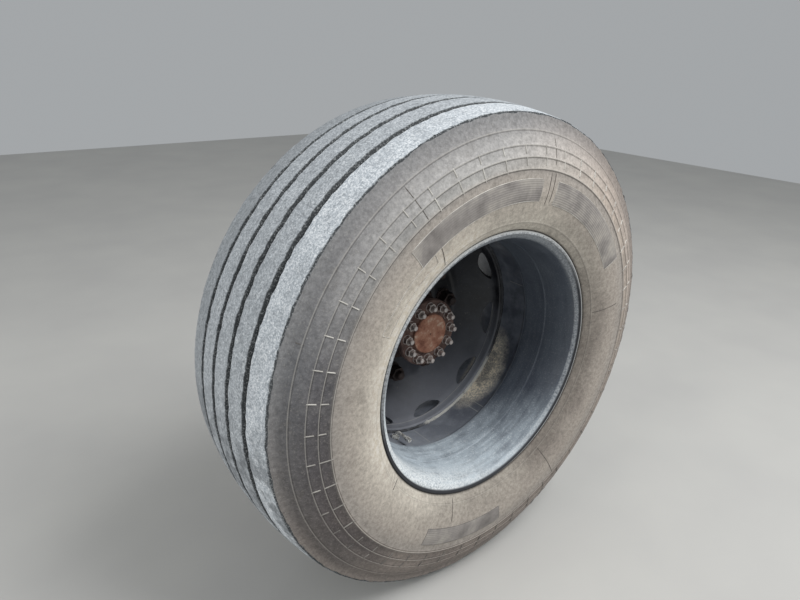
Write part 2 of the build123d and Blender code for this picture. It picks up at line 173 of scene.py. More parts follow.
def new_material(name, roughness, metallic=0.0):
    """A material, the function that adds its nodes, its shader and its Object coordinates."""
    made = bpy.data.materials.new(name)
    made.use_nodes = True
    node = partial(add_node, made.node_tree)
    shader = made.node_tree.nodes["Principled BSDF"]
    shader.inputs["Roughness"].default_value = roughness
    shader.inputs["Metallic"].default_value = metallic
    return made, node, shader, node("TexCoord", out="Object")


def feed(shader, **sockets):
    """Links patterns to the shader's inputs, named with _ for a space."""
    for name, socket in sockets.items():
        shader.id_data.links.new(socket, shader.inputs[name.replace("_", " ")])


def from_axle(node, place):
    """The distance from the axle in metres, the length of (x, 0, z)."""
    flat = node("VectorMath", place, (1.0, 0.0, 1.0), operation="MULTIPLY")
    return node("VectorMath", flat, out="Value", operation="LENGTH")


def past_middle(node, place):
    """How far a point lies inboard of the tyre's middle plane, in metres."""
    return node("Math", node("SeparateXYZ", place, out="Y"), -WHEEL_Y / 1000.0, operation="ADD")


# Natural rubber filled with carbon black, moulded, then scrubbed by gravel: matt, with no clear highlight.
# Its dust is beige by the bead and grey towards the tread. An attribute says how thick it is, and carries
# painted light as well: a painted sheen on top and painted shade on the left.
rubber, node, shader, place = new_material("moulded_black_rubber_with_road_dust_and_painted_light", 0.9)
radius = from_axle(node, place)
# From 0.28 m at the bead to 0.54 m at the crown. The rings stand at 0.424, 0.445, 0.466 and 0.493 m
reach = node("MapRange", radius, 0.28, 0.54)
cloud = node("TexNoise", place, Scale=9.0, Detail=8.0, Roughness=0.66)
grit = node("TexNoise", place, Scale=260.0, Detail=3.0, Roughness=0.7)
gravel = node("TexNoise", place, Scale=300.0, Detail=3.0, Roughness=0.7)
patchy = node("TexNoise", place, Scale=28.0, Detail=5.0, Roughness=0.62)
# How thick the dust lies, with painted light in it: paler on top, darker on the left
dust_and_painted_light = node("Attribute", attribute_name="dust_and_painted_light", out="Fac")
drift = node("Math", cloud, 0.9, -0.45, operation="MULTIPLY_ADD")
wall_dust_and_light = node("Math", dust_and_painted_light, drift, operation="ADD", use_clamp=True)
# The stops are 0.30, 0.303, 0.325, 0.35, 0.385, 0.42, 0.428, 0.455, 0.48, 0.50 and 0.515 m from the axle
STOPS = (0.074, 0.088, 0.173, 0.269, 0.404, 0.538, 0.569, 0.673, 0.769, 0.846, 0.904)
BARE_WALL = (
    "#2f2c2b", "#7a736c", "#7a736c", "#867e77", "#988f87", "#8d8781", "#5c5a5b", "#5e5c5e", "#646364",
    "#676666", "#82807e",
)
DUSTY_WALL = (
    "#3b3835", "#d6cfc2", "#d8d0c3", "#c4bcb0", "#b6aea4", "#a8a19a", "#b2ada5", "#b8b3ac", "#ada8a2",
    "#938f8b", "#8f8c89",
)
bare_wall = node("ValToRGB", reach, stops=tuple(zip(STOPS, BARE_WALL)))
dusty_wall = node("ValToRGB", reach, stops=tuple(zip(STOPS, DUSTY_WALL)))
wall_colour = node("MixRGB", wall_dust_and_light, bare_wall, dusty_wall)
# Beyond the innermost ring the dust is browner, except on the upper left. The dot product with a way is the
# distance along it from the axle, here along x = -0.6 and z = 0.8
cool = node("VectorMath", place, (-0.6, 0.0, 0.8), out="Value", operation="DOT_PRODUCT")
cool = node("MapRange", cool, 0.1, 0.4)
beyond = node("MapRange", radius, 0.418, 0.430)
tint = node("MixRGB", cool, "#fff5ef", "#f5f9ff")
wall_colour = node("MixRGB", beyond, wall_colour, tint, blend_type="MULTIPLY")
# Grain a few millimetres across, dark smudges up to a hand wide, and pale specks
mottle = node("TexNoise", place, Scale=120.0, Detail=5.0, Roughness=0.8)
mottle = node("MapRange", mottle, 0.36, 0.64, 0.26, 0.74)
wall_colour = node("MixRGB", 0.5, wall_colour, mottle, blend_type="OVERLAY")
smudge = node("TexNoise", place, Scale=21.0, Detail=6.0, Roughness=0.68)
smudge = node("MapRange", smudge, 0.56, 0.72, 0.0, 0.32)
wall_colour = node("MixRGB", smudge, wall_colour, "#625c56")
speckle = node("MapRange", grit, 0.55, 0.75, 0.0, 0.22)
wall_colour = node("MixRGB", speckle, wall_colour, "#cfcac0")
# The rings' crests carry a painted highlight, and painted shade lies in the corner on their axle side:
# narrow bands of radius
for ring, strength in ((0.4240, 0.55), (0.4455, 0.55), (0.4665, 0.45), (0.4930, 0.4), (0.3180, 0.2)):
    for centre, code in ((ring, "#aca8a1"), (ring - 0.0024, "#3d3a37")):
        band = node("Math", radius, centre, 0.0008, operation="COMPARE")
        share = node("Math", band, strength, operation="MULTIPLY")
        wall_colour = node("MixRGB", share, wall_colour, code)
scrub = node("Attribute", attribute_name="scrubbed", out="Fac")
# The kerb has ground the outboard rib whiter than the four others, which start 88 mm from the middle plane
from_middle = past_middle(node, place)
outer = node("MapRange", from_middle, -0.088, -0.096)
inner_colour = node("ValToRGB", gravel, stops=((0.36, "#8c9196"), (0.50, "#a6abaf"), (0.64, "#c6cacd")))
# The inboard rib is darkened towards grey as painted shade
inboard_rib_painted_shade = node("MapRange", from_middle, 0.086, 0.090, 0.0, 0.4)
inner_colour = node("MixRGB", inboard_rib_painted_shade, inner_colour, "#75797c")
outer_colour = node("ValToRGB", gravel, stops=((0.34, "#9aa0a6"), (0.50, "#bbc1c6"), (0.64, "#e2e5e7")))
tread_colour = node("MixRGB", outer, inner_colour, outer_colour)
blotch = node("MapRange", patchy, 0.45, 0.75, 0.0, 0.45)
tread_colour = node("MixRGB", blotch, tread_colour, "#8c9196")
tread_colour = node("MixRGB", 0.6, tread_colour, mottle, blend_type="OVERLAY")
# Below the axle it has kept more of the dark dirt, in patches
height = node("MapRange", node("SeparateXYZ", place, out="Z"), 0.05, -0.08)
dirt = node("MapRange", patchy, 0.42, 0.60, 0.0, 0.65)
dirt = node("Math", dirt, height, operation="MULTIPLY")
tread_colour = node("MixRGB", dirt, tread_colour, "#5d6063")
stones = node("MapRange", gravel, 0.53, 0.62, 0.0, 0.8)
groove_colour = node("MixRGB", stones, "#45484a", "#9a9d9e")
hollow = node("Attribute", attribute_name="hollow", out="Fac")
colour = node("MixRGB", scrub, wall_colour, tread_colour)
colour = node("MixRGB", hollow, colour, groove_colour)
feed(shader, Base_Color=colour)
relief = node("Math", gravel, scrub, grit, operation="MULTIPLY_ADD")
feed(shader, Normal=node("Bump", Height=relief, Strength=0.4, Distance=0.0012))
shader.inputs["Specular IOR Level"].default_value = 0.25

# The section, one half of it from the bead to the shoulder's edge, with the rings as low rounded ridges
RINGS = ((318.0, 0.5), (424.0, 1.6), (445.5, 1.6), (466.5, 1.4), (493.0, 1.1))
bead_y = np.array([118.0, 153.3, 155.4, 158.4, 165.6, 169.8])
bead_r = np.array([276.6, 285.9, 288.5, 295.7, 298.9, 303.0])
near_rings = [ring + np.array([-2.6, -1.2, -0.5, 0.5, 1.2, 2.6]) for ring, _ in RINGS]
between = [434.0, 456.0, 479.0, 503.0, 511.0, 517.0]
wall_r = np.unique(np.concatenate([np.linspace(308.0, 412.0, 12), between] + near_rings))
wall_y = wall(wall_r) + sum(rise * np.exp(-(((wall_r - ring) / 1.2) ** 2)) for ring, rise in RINGS)
side_y = np.concatenate([bead_y, wall_y, [150.2, 149.2, 148.6]])
side_r = np.concatenate([bead_r, wall_r, [520.6, 521.4, 523.2]])
# The tread, from shoulder to shoulder: each groove is eight points, and each rib has a few between
groove_y = np.array([-8.8, -7.4, -6.4, -3.6, 3.6, 6.4, 7.4, 8.8])
groove_sink = np.array([0.0, 0.0, 1.6, GROOVE_DEPTH, GROOVE_DEPTH, 1.6, 0.0, 0.0])
outer_rib = np.array([-147.6, -146.2, -142.0, -124.0, -106.0])
ribs = (outer_rib, (-68.0, -57.5, -47.0), (-9.0, 0.0, 9.0), (47.0, 57.5, 68.0), -outer_rib[::-1])
tyre_angles = once_round(TYRE_STEPS)
tread_y, tread_sink, tread_hollow = [], [], []
for number, rib in enumerate(ribs):
    for y in rib:
        edge = round_noise(TYRE_STEPS, 2, 1.3) if abs(y) > 145 else 0.0
        tread_y.append(y + edge + 0 * tyre_angles)
        tread_sink.append(1.2 if abs(y) > 147 else 0.0)
        tread_hollow.append(1.0 if abs(y) > 147 else 0.0)
    if number < len(GROOVES):
        middle, waves, start = GROOVES[number]
        wander = round_noise(TYRE_STEPS, 30, 0.6)
        sway = [
            wander + 0.6 * np.sin(waves * tyre_angles + start + lag) + round_noise(TYRE_STEPS, 2, 0.85)
            for lag in (0.0, 0.9)
        ]
        for k in range(8):
            tread_y.append(middle + groove_y[k] + sway[k // 4])
            tread_sink.append(groove_sink[k])
            tread_hollow.append(1.0 if 2 <= k <= 5 else 0.0)
tread_y = np.array(tread_y)
tread_r = CROWN_R - (CROWN_R - SHOULDER_R) * (tread_y / SHOULDER_Y) ** 2 - np.array(tread_sink)[:, None]
# The cavity behind, which the rim closes
cavity_y = np.array([122.0, 160.0, 171.0, 172.0, 166.0, 150.0, 118.0, 60.0])
cavity_r = np.array([288.0, 325.0, 352.0, 380.0, 425.0, 470.0, 497.0, 503.0])
cavity_y, cavity_r = np.append(cavity_y, -cavity_y[::-1]), np.append(cavity_r, cavity_r[::-1])
flat = np.ones((1, TYRE_STEPS))
chips = np.zeros((len(side_r), TYRE_STEPS))
chips[-3] = round_noise(TYRE_STEPS, 3, 0.7)
chips[-2] = chips[-3]
side_y, side_r = side_y[:, None] * flat, side_r[:, None] + chips
section_y = np.concatenate([-side_y, tread_y, side_y[::-1], cavity_y[:, None] * flat])
section_r = np.concatenate([side_r, tread_r, side_r[::-1], cavity_r[:, None] * flat])
tyre_points = carried_round(section_y.T, section_r.T, tyre_angles)
tyre_faces = cells(*tyre_points.shape[:2])
tyre = make_piece("tyre_with_ribs_and_rings", tyre_points, tyre_faces, "wheel", "tyre_rubber", rubber, 28.0)
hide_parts("tyre")
side, rest = len(side_r), len(side_r) + len(cavity_y)
# How pale a wall is mixed towards its dusty colours, from 0 to 1: dust, and painted light. Beyond the
# innermost ring, at 424 mm, it is palest on top, as a painted sheen, and painted shade darkens the left
# side: within 52 degrees of 185. Nearer the axle, the hollow wall is paler on its upper left, the more the
# closer to the bead.
round_it = tyre_angles[:, None]
painted_shade_on_left = 0.55 * np.clip((np.cos(round_it - np.radians(185.0)) - 0.62) / 0.33, 0.0, 1.0)
dust_and_sheen_on_top = 0.62 + 0.28 * np.cos(round_it - np.radians(70.0)) - painted_shade_on_left
near_bead = np.clip((412.0 - side_r[:, 0]) / 80.0, 0.0, 1.0)
upper_left = 0.50 + 0.48 * near_bead * np.cos(round_it - np.radians(150.0))
side_dust_and_light = np.where(side_r[:, 0] > 424.0, dust_and_sheen_on_top, upper_left)
dust_and_painted_light = np.full((TYRE_STEPS, len(section_r)), 0.5)
dust_and_painted_light[:, :side] = side_dust_and_light
dust_and_painted_light[:, side + len(tread_y) : side + len(tread_y) + side] = side_dust_and_light[:, ::-1]
scrubbed = np.concatenate([np.zeros(side), np.ones(len(tread_y)), np.zeros(rest)])
sunk = np.concatenate([np.zeros(side - 2), [1, 1], tread_hollow, [1, 1], np.zeros(rest - 2)])
for label, values in (("scrubbed", scrubbed), ("hollow", sunk), ("dust_and_painted_light", dust_and_painted_light)):
    layer = tyre.data.attributes.new(label, "FLOAT", "POINT")
    layer.data.foreach_set("value", (values + 0 * dust_and_painted_light).ravel())

# Raised marks of the mould on both sidewalls: short radial bars between the rings, fine joint lines and the
# outlines of the blank panels. They are the tyre's own rubber, and the dust has rubbed them pale; the bars
# and outlines are painted paler the higher they stand, as painted light from above.
pale_rubber, node, shader, place = new_material("rubbed_rubber_edges_with_painted_light", 0.85)
cloud = node("TexNoise", place, Scale=30.0, Detail=4.0)
# Higher up the marks are paler: painted light from above
high = node("MapRange", node("SeparateXYZ", place, out="Z"), -0.25, 0.20)
lower_painted_shade_rubber = node("ValToRGB", cloud, stops=((0.35, "#5f5c59"), (0.65, "#8f8b85")))
upper_painted_light_rubber = node("ValToRGB", cloud, stops=((0.35, "#a8a49e"), (0.65, "#d6d3cc")))
feed(shader, Base_Color=node("MixRGB", high, lower_painted_shade_rubber, upper_painted_light_rubber))
dark_rubber, node, shader, place = new_material("mould_joint_rubber", 0.85)
cloud = node("TexNoise", place, Scale=30.0, Detail=4.0)
feed(shader, Base_Color=node("ValToRGB", cloud, stops=((0.35, "#4f4b48"), (0.65, "#6b655f"))))


def raised_bars(r, angle, half_width, rise, sink=0.6):
    """Closed bars that lie on the wall along rows of (r, angle) points.

    Round each point stand four corners: two on the wall's skin, half a width to each side and sunk a
    little, and two above it, nearer together. Where a bar runs along (dr, r da), its side is (-r da, dr).
    """
    dr = np.gradient(r, axis=1)
    da = np.gradient(angle, axis=1) * r
    length = np.hypot(dr, da)
    across = np.stack([-da / length, dr / length], axis=-1)[:, :, None, :]
    spread = np.array([-1.0, -0.45, 0.45, 1.0])[None, None, :]
    height = np.array([-sink, rise, rise, -sink])[None, None, :] + 0 * r[:, :, None]
    bar_r = r[:, :, None] + across[..., 0] * spread * half_width
    bar_a = angle[:, :, None] + across[..., 1] * spread * half_width / bar_r
    bar_y = wall(bar_r) + height
    ends = np.array([0, -1])
    bar_r[:, ends] = r[:, ends, None]
    bar_a[:, ends] = angle[:, ends, None]
    bar_y[:, ends] = wall(bar_r[:, ends]) - sink
    both = [(bar_r * np.cos(bar_a), WHEEL_Y + side * bar_y, bar_r * np.sin(bar_a)) for side in (-1.0, 1.0)]
    points = np.concatenate([np.stack(one_side, axis=-1) for one_side in both])
    one = cells(points.shape[1], 4, rows_close=False)
    near = np.arange(len(points))[:, None, None] < len(r)
    faces = np.where(near, one[None, :, ::-1], one[None, :, :])
    faces = faces + (np.arange(len(points)) * points.shape[1] * 4)[:, None, None]
    return points, faces.reshape(-1, 4)


BAR_STEP = np.radians(7.5)
bar_angles = np.radians(5.5) + BAR_STEP * np.arange(48)
along = np.concatenate([[0.0], np.linspace(0.02, 0.98, 4), [1.0]])
outer_bars = 468.0 - 16.0 * along[None, :] + 0 * bar_angles[:, None]
deep = np.where(np.arange(48)[:, None] % 12 < 4, 26.0, 15.5)
inner_bars = 446.5 - deep * along[None, :]
bar_r = np.concatenate([outer_bars, inner_bars])
bar_a = np.concatenate([bar_angles, bar_angles])[:, None] + 0 * bar_r
made = raised_bars(bar_r, bar_a, 1.2, 1.6)
make_piece("sidewall_bars", *made, "wheel", "tyre_rubber", pale_rubber)

# The joints of the mould's segments: hair lines across the wall, at the angles where the real ones stand
JOINTS = (
    (122.0, 494.0, 416.0), (122.3, 369.0, 308.0), (78.0, 424.0, 352.0), (76.2, 424.0, 358.0),
    (76.6, 488.0, 430.0), (-57.0, 458.0, 304.0), (-108.7, 358.0, 304.0), (-147.0, 330.0, 305.0),
    (158.5, 503.0, 489.0), (10.0, 400.0, 310.0), (-15.0, 492.0, 430.0),
)
joint_r = np.array([np.linspace(first, last, 10) for _, first, last in JOINTS])
joint_a = np.radians(np.array([angle for angle, _, _ in JOINTS]))[:, None] + 0 * joint_r
made = raised_bars(joint_r, joint_a, 0.9, 0.7)
make_piece("mould_joints", *made, "wheel", "tyre_rubber", dark_rubber)

# Blank label panels on the sidewall: thin raised pads with a ribbed face that holds dark dirt, each with a
# narrow border. They are part of the same moulding.
panel_rubber, node, shader, place = new_material("ribbed_panel_rubber", 0.9)
radius = from_axle(node, place)
cloud = node("TexNoise", place, Scale=22.0, Detail=5.0, Roughness=0.6)
# Ribs a millimetre apart on the real panel, drawn 4.5 mm apart so that they show
comb = node("Math", radius, 2 * np.pi / 0.0045, operation="MULTIPLY")
comb = node("Math", comb, operation="SINE")
colour = node("ValToRGB", cloud, stops=((0.30, "#716c69"), (0.50, "#8e8985"), (0.70, "#aaa49c")))
colour = node("MixRGB", node("MapRange", comb, -1.0, 1.0, 0.0, 0.06), colour, "#545050")
feed(shader, Base_Color=colour, Normal=node("Bump", Height=comb, Strength=0.3, Distance=0.0005))
PANELS = ((81.2, 130.2, 362.0, 405.5), (28.0, 74.4, 358.0, 405.0), (-120.0, -84.2, 366.0, 404.0))
# Across a panel: its top from edge to edge, then back under the wall's skin
share = np.concatenate([[0.0, 0.0], np.linspace(0.0, 1.0, 9), [1.0], np.linspace(1.0, 0.0, 9)])
tall = np.concatenate([[-1.5, 0.0], np.full(9, 0.5), [0.0], np.full(9, -1.5)])
panel_points, panel_faces, border_r, border_a = [], [], [], []
for low, high, inner, outer in PANELS:
    a = np.radians(low + (high - low) * np.concatenate([[0.0], np.linspace(0.0, 1.0, 60), [1.0]]))[:, None]
    lift = np.minimum(np.concatenate([[-1.5], np.full(60, 0.5), [-1.5]])[:, None], tall[None, :])
    r = inner + (outer - inner) * share[None, :] + 0 * a
    for side in (-1.0, 1.0):
        points = np.stack([r * np.cos(a), WHEEL_Y + side * (wall(r) + lift), r * np.sin(a)], axis=-1)
        one = cells(*r.shape, rows_close=False)
        panel_faces.append((one[:, ::-1] if side < 0 else one) + sum(len(p) for p in panel_points))
        panel_points.append(points.reshape(-1, 3))
    t = np.linspace(0.0, 1.0, 60)
    lows, highs = np.radians(low), np.radians(high)
    border_r += [inner + 0 * t, outer + 0 * t, inner + (outer - inner) * t, inner + (outer - inner) * t]
    border_a += [lows + (highs - lows) * t, lows + (highs - lows) * t, lows + 0 * t, highs + 0 * t]
panel_points, panel_faces = np.concatenate(panel_points), np.concatenate(panel_faces)
make_piece("blank_label_panels", panel_points, panel_faces, "wheel", "tyre_rubber", panel_rubber)
# A long rounded outline beside the first panel: two arcs joined by half circles
t = np.linspace(0.0, 2 * np.pi, 60)
border_r.append(349.5 + 12.0 * np.clip(1.6 * np.sin(t), -1, 1))
border_a.append(np.radians(138.5 + 13.5 * np.clip(1.25 * np.cos(t), -1, 1)))
made = raised_bars(np.array(border_r), np.array(border_a), 0.7, 0.8)
make_piece("panel_borders", *made, "wheel", "tyre_rubber", pale_rubber)

# The rim is rolled from one strip of steel and painted. Its curled lip has lost its paint to the road, dust
# lies on the side that stood lowest, and a patch of sand has dried in the trough behind the well.
RIM_STEPS = 300


def bend(start, through, end, steps=7):
    """A bend from a to b: the parabola (1-t)^2 a + 2t(1-t) c + t^2 b that passes through a middle point."""
    a, m, b = (np.asarray(p, dtype=float) for p in (start, through, end))
    t = np.linspace(0.0, 1.0, steps)[:, None]
    return (1 - t) ** 2 * a + 2 * t * (1 - t) * (2 * m - (a + b) / 2) + t**2 * b


def turned(name, outline, steps, body, slot, material, sharp=32.0):
    """A closed outline of (y, radius) carried once round the axle."""
    angles = once_round(steps)
    points = carried_round(outline[None, :, 0], outline[None, :, 1], angles)
    return make_piece(name, points, cells(*points.shape[:2]), body, slot, material, sharp)


# The curled edge and the seat of the outboard side, from the heel round the lip to the inside of the barrel
lip_outer = bend((-155.6, 288.5), (-158.5, 295.6), (-165.6, 298.4))
lip_inner = bend((-165.6, 291.5), (-163.5, 290.6), (-162.6, 288.5), 4)
barrel_line = np.array([(-159.0, 282.2), (-155.5, 279.7), (-151.0, 278.0), (-118.0, 269.0), (-88.0, 265.7)])
ridge = np.array([(-84.5, 265.3), (-83.0, 264.3), (-81.0, 264.3)])
well = np.array([
    (-37.0, 256.2), (-35.5, 256.0), (-28.6, 256.0), (-27.4, 256.5), (-18.0, 263.9), (-16.6, 264.6),
])
lip_tip = np.array([(-167.3, 297.6), (-167.6, 296.4), (-167.6, 292.8), (-167.2, 291.7)])
outboard = np.concatenate([lip_outer, lip_tip, lip_inner, barrel_line])
inboard = outboard[::-1] * (-1.0, 1.0)
barrel_back = np.array([
    (153.5, 285.7), (118.0, 276.2), (100.0, 273.0), (84.0, 271.6), (-20.0, 271.6), (-31.0, 263.0),
])
seat_back = np.array([(-38.0, 263.0), (-83.0, 272.2), (-118.0, 276.2), (-153.5, 285.7)])
rim_outline = np.concatenate(
    [outboard, ridge, well, [(84.0, 264.6), (101.0, 266.0)], inboard[1:], barrel_back, seat_back]
)


def angle_round(node, place):
    """The angle round the axle in radians, atan2(z, x)."""
    z, x = (node("SeparateXYZ", place, out=axis) for axis in "ZX")
    return node("Math", z, x, operation="ARCTAN2")


# Sprayed grey-blue enamel on steel: satin, streaked round by dust and water, and dry on its lower half
rim_paint, node, shader, place = new_material("sprayed_blue_grey_enamel", 0.5)
from_middle = past_middle(node, place)
stretch = node("Mapping", place, Scale=(1.0, 9.0, 1.0))
streak = node("TexNoise", stretch, Scale=11.0, Detail=7.0, Roughness=0.62)
specks = node("TexNoise", place, Scale=300.0, Detail=3.0, Roughness=0.75)
blots = node("TexNoise", place, Scale=22.0, Detail=7.0, Roughness=0.66)
# The dust has slid down and to the left, along (-0.43, -0.90), and less of it has got deep into the wheel
low = node("VectorMath", place, (-0.43, 0.0, -0.90), out="Value", operation="DOT_PRODUCT")
low = node("Math", from_middle, -0.7, low, operation="MULTIPLY_ADD")
low = node("MapRange", low, 0.11, 0.34, 0.08, 0.92)
shift = node("Math", streak, -0.5, operation="ADD")
strong = node("MapRange", low, 0.08, 0.9, 0.2, 1.7)
dusty = node("Math", shift, strong, low, operation="MULTIPLY_ADD", use_clamp=True)
# It lies in blots as well, which stand out only where it is thick
shift = node("Math", blots, 1.6, -0.8, operation="MULTIPLY_ADD")
dusty = node("Math", shift, low, dusty, operation="MULTIPLY_ADD", use_clamp=True)
barrel = node("MixRGB", dusty, "#383e4a", "#a9b4bc")
# A painted highlight: a white crescent by the lip, low on the left along (-0.75, -0.66), broken into crumbs
grains = node("TexNoise", place, Scale=210.0, Detail=5.0, Roughness=0.8)
painted_highlight_crescent = node("VectorMath", place, (-0.75, 0.0, -0.66), out="Value", operation="DOT_PRODUCT")
painted_highlight_crescent = node("MapRange", painted_highlight_crescent, 0.15, 0.285)
by_lip = node("MapRange", from_middle, -0.100, -0.142)
painted_highlight_crescent = node("Math", painted_highlight_crescent, by_lip, operation="MULTIPLY")
crumbs = node("MapRange", grains, 0.40, 0.60, 0.1)
painted_highlight_crescent = node("Math", painted_highlight_crescent, crumbs, operation="MULTIPLY")
barrel = node("MixRGB", painted_highlight_crescent, barrel, "#f4f7f6")
fleck = node("MapRange", specks, 0.54, 0.68, 0.0, 0.7)
lying = node("MapRange", dusty, 0.0, 1.0, 0.06, 1.0)
fleck = node("Math", fleck, lying, operation="MULTIPLY")
barrel = node("MixRGB", fleck, barrel, "#dfe3e4")
patch = node("MapRange", blots, 0.42, 0.62, 0.0, 0.75)
trough = node("MixRGB", patch, "#4b505c", "#7d828b")
film = node("Math", low, 0.6, operation="MULTIPLY")
trough = node("MixRGB", film, trough, "#a5aab2")
trough = node("MixRGB", fleck, trough, "#a5a295")
SAND = (0.206, WHEEL_Y / 1000.0 + 0.044, -0.166)
# The patch is twice as long round the trough as it is wide: its distance counts y twice
offset = node("VectorMath", place, SAND, operation="SUBTRACT")
offset = node("VectorMath", offset, (1.0, 2.2, 1.0), operation="MULTIPLY")
spot = node("VectorMath", offset, operation="LENGTH", out="Value")
sand = node("MapRange", spot, 0.130, 0.050, 0.0, 1.7)
# It has flaked off in places: a few millimetres across by its grains, and wider by the blots
broken = node("MapRange", grains, 0.40, 0.60, 0.25, 1.0)
flaked = node("MapRange", blots, 0.40, 0.56, 0.35, 1.0)
sand = node("Math", sand, broken, operation="MULTIPLY")
sand = node("Math", sand, flaked, operation="MULTIPLY", use_clamp=True)
trough = node("MixRGB", sand, trough, "#fff3dc")
# Scratches along the trough: each one's angle in degrees, and its two ends in metres past the middle
turned_by = angle_round(node, place)
SCRATCHES = ((-61.0, -0.023, 0.05), (-57.0, -0.02, 0.046), (-95.6, -0.013, 0.05), (18.5, -0.015, 0.027))
for degrees, first, last in SCRATCHES:
    thin = node("Math", turned_by, np.radians(degrees), 0.0032, operation="COMPARE")
    half = (last - first) / 2
    reached = node("Math", from_middle, first + half, half, operation="COMPARE")
    share = node("Math", thin, reached, operation="MULTIPLY")
    share = node("Math", share, grains, operation="MULTIPLY")
    trough = node("MixRGB", share, trough, "#b9b9b2")
beyond = node("MapRange", from_middle, -0.029, -0.027)
colour = node("MixRGB", beyond, barrel, trough)
# A painted highlight lies on the edge where the well begins, 28 mm outboard of the middle plane
edge = node("Math", from_middle, -0.0284, 0.0012, operation="COMPARE")
edge = node("Math", edge, 0.45, operation="MULTIPLY")
colour = node("MixRGB", edge, colour, "#9097a2")
# The curled lip, beyond 290 mm from the axle, is dark below and grey above, with the bevel behind it:
# rubbed paint, with a painted reflection of the sky on its upper side. Its crest is bare metal except on
# the lower left, away from (0.8, 0.6).
radius = from_axle(node, place)
above = node("VectorMath", place, (-0.34, 0.0, 0.94), out="Value", operation="DOT_PRODUCT")
above = node("MapRange", above, 0.02, 0.22)
worn_and_lit = node("MapRange", grains, 0.40, 0.56, 0.35, 1.0)
worn_and_lit = node("Math", worn_and_lit, above, operation="MULTIPLY")
bevel = node("MapRange", from_middle, -0.1510, -0.1560, 0.0, 0.6)
bevel = node("Math", bevel, worn_and_lit, operation="MULTIPLY")
colour = node("MixRGB", bevel, colour, "#aab0b5")
# Below, only the bend into the lip is rubbed, in broken flecks
bend_y = node("MapRange", from_middle, -0.1565, -0.1588, 0.0, 0.4)
under = node("MapRange", above, 0.0, 1.0, 1.0, 0.0)
rubbed = node("Math", bend_y, under, operation="MULTIPLY")
rubbed = node("Math", rubbed, crumbs, operation="MULTIPLY")
colour = node("MixRGB", rubbed, colour, "#dde1e2")
lip = node("MapRange", radius, 0.2890, 0.2915)
colour = node("MixRGB", lip, colour, node("MixRGB", worn_and_lit, "#2d2f34", "#c3c7ca"))
clear = node("VectorMath", place, (0.8, 0.0, 0.6), out="Value", operation="DOT_PRODUCT")
clear = node("MapRange", clear, -0.15, 0.02)
crest = node("MapRange", radius, 0.2945, 0.2962)
bare = node("Math", crest, clear, operation="MULTIPLY")
colour = node("MixRGB", bare, colour, "#cfd0cf")
feed(shader, Base_Color=colour)
metal = node("Math", bare, 0.5, operation="MULTIPLY")
feed(shader, Metallic=metal, Roughness=node("MapRange", dusty, 0.0, 1.0, 0.38, 0.72))
feed(shader, Normal=node("Bump", Height=specks, Strength=0.12, Distance=0.0006))
rim = turned("rolled_rim", rim_outline, RIM_STEPS, "wheel", "painted_rim", rim_paint, 28.0)
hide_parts("rim")

# The disc is pressed from thick plate: a skirt that is welded in the rim, a bend, a deep cone with ten hand
# holes near its edge, and the flat that the nuts clamp. It is painted near black, paler low down with dust
# and with painted shade darkening it above.
SECTOR = 2 * np.pi / 10
FIRST_HOLE = np.radians(-80.0)
# A hand hole, on the face: x across it and s the length from the skirt's edge. It is straight at
# HOLE_FOOT_S and bowed towards the hub, along a circle of BOW_R round (0, BOW_S)
HOLE_R, HOLE_S, HOLE_FOOT_S, BOW_S, BOW_R = 243.0, 28.0, 17.5, -14.0, 56.7
front = np.concatenate([
    [(59.5, 254.4)],
    bend((63.0, 254.4), (74.0, 252.4), (83.5, 246.2), 10),
    bend((148.0, 185.9), (152.5, 180.3), (154.0, 173.0), 6),
    [(154.0, 150.0), (154.0, 130.0), (154.0, 112.2), (154.6, 110.9), (155.6, 110.4)],
])
rear = np.concatenate([
    [(56.0, 264.5)],
    bend((68.0, 264.5), (82.5, 261.8), (95.3, 253.6), 10),
    bend((161.0, 192.2), (166.0, 185.5), (168.0, 179.0), 6),
    [(168.0, 150.0), (168.0, 130.0), (168.0, 112.0), (167.6, 111.0), (167.0, 110.4)],
])
face_s = np.concatenate([[0.0], np.cumsum(np.linalg.norm(np.diff(front, axis=0), axis=1))])


def disc_point(angle, s, depth):
    """A place on the disc at an angle.

    s is the length along the outboard face from the skirt's edge. depth goes from 0 on that face to 1 on
    the inboard face, straight between the two points that the faces have at s.
    """
    s, depth = s + 0 * angle, depth + 0 * angle
    near, far = ([np.interp(s, face_s, line[:, k]) for k in (0, 1)] for line in (front, rear))
    y, r = ((1 - depth) * near[k] + depth * far[k] for k in (0, 1))
    return np.stack([r * np.cos(angle), WHEEL_Y + y, r * np.sin(angle)], axis=-1)


# The edge of one tenth of the disc, once round it, and for each of its points the hole's edge on the same
# ray from the hole's middle. A ray meets the straight at 1 / foot and the bow at 1 / bow, and the hole ends
# where (foot ** k + bow ** k) ** (1 / k) says, which rounds the two corners
SPLIT, RISES, BAND = 24, 12, 64.0
half = SECTOR * HOLE_R / 2
ticks, rise = np.linspace(-half, half, SPLIT + 1), np.linspace(0.0, BAND, RISES + 1)
edge_x = np.concatenate([ticks[:-1], np.full(RISES, half), ticks[:0:-1], np.full(RISES, -half)])
edge_s = np.concatenate([np.zeros(SPLIT), rise[:-1], np.full(SPLIT, BAND), rise[:0:-1]])
away_x, away_s = edge_x, edge_s - HOLE_S
away = np.hypot(away_x, away_s)
foot = np.maximum(-away_s / away, 0.0) / (HOLE_S - HOLE_FOOT_S)
towards = away_s / away * (HOLE_S - BOW_S)
bow = 1.0 / (np.sqrt(towards**2 - (HOLE_S - BOW_S) ** 2 + BOW_R**2) - towards)
hole_reach = (foot**3.6 + bow**3.6) ** (-1 / 3.6)
hole_x, hole_s = hole_reach * away_x / away, HOLE_S + hole_reach * away_s / away
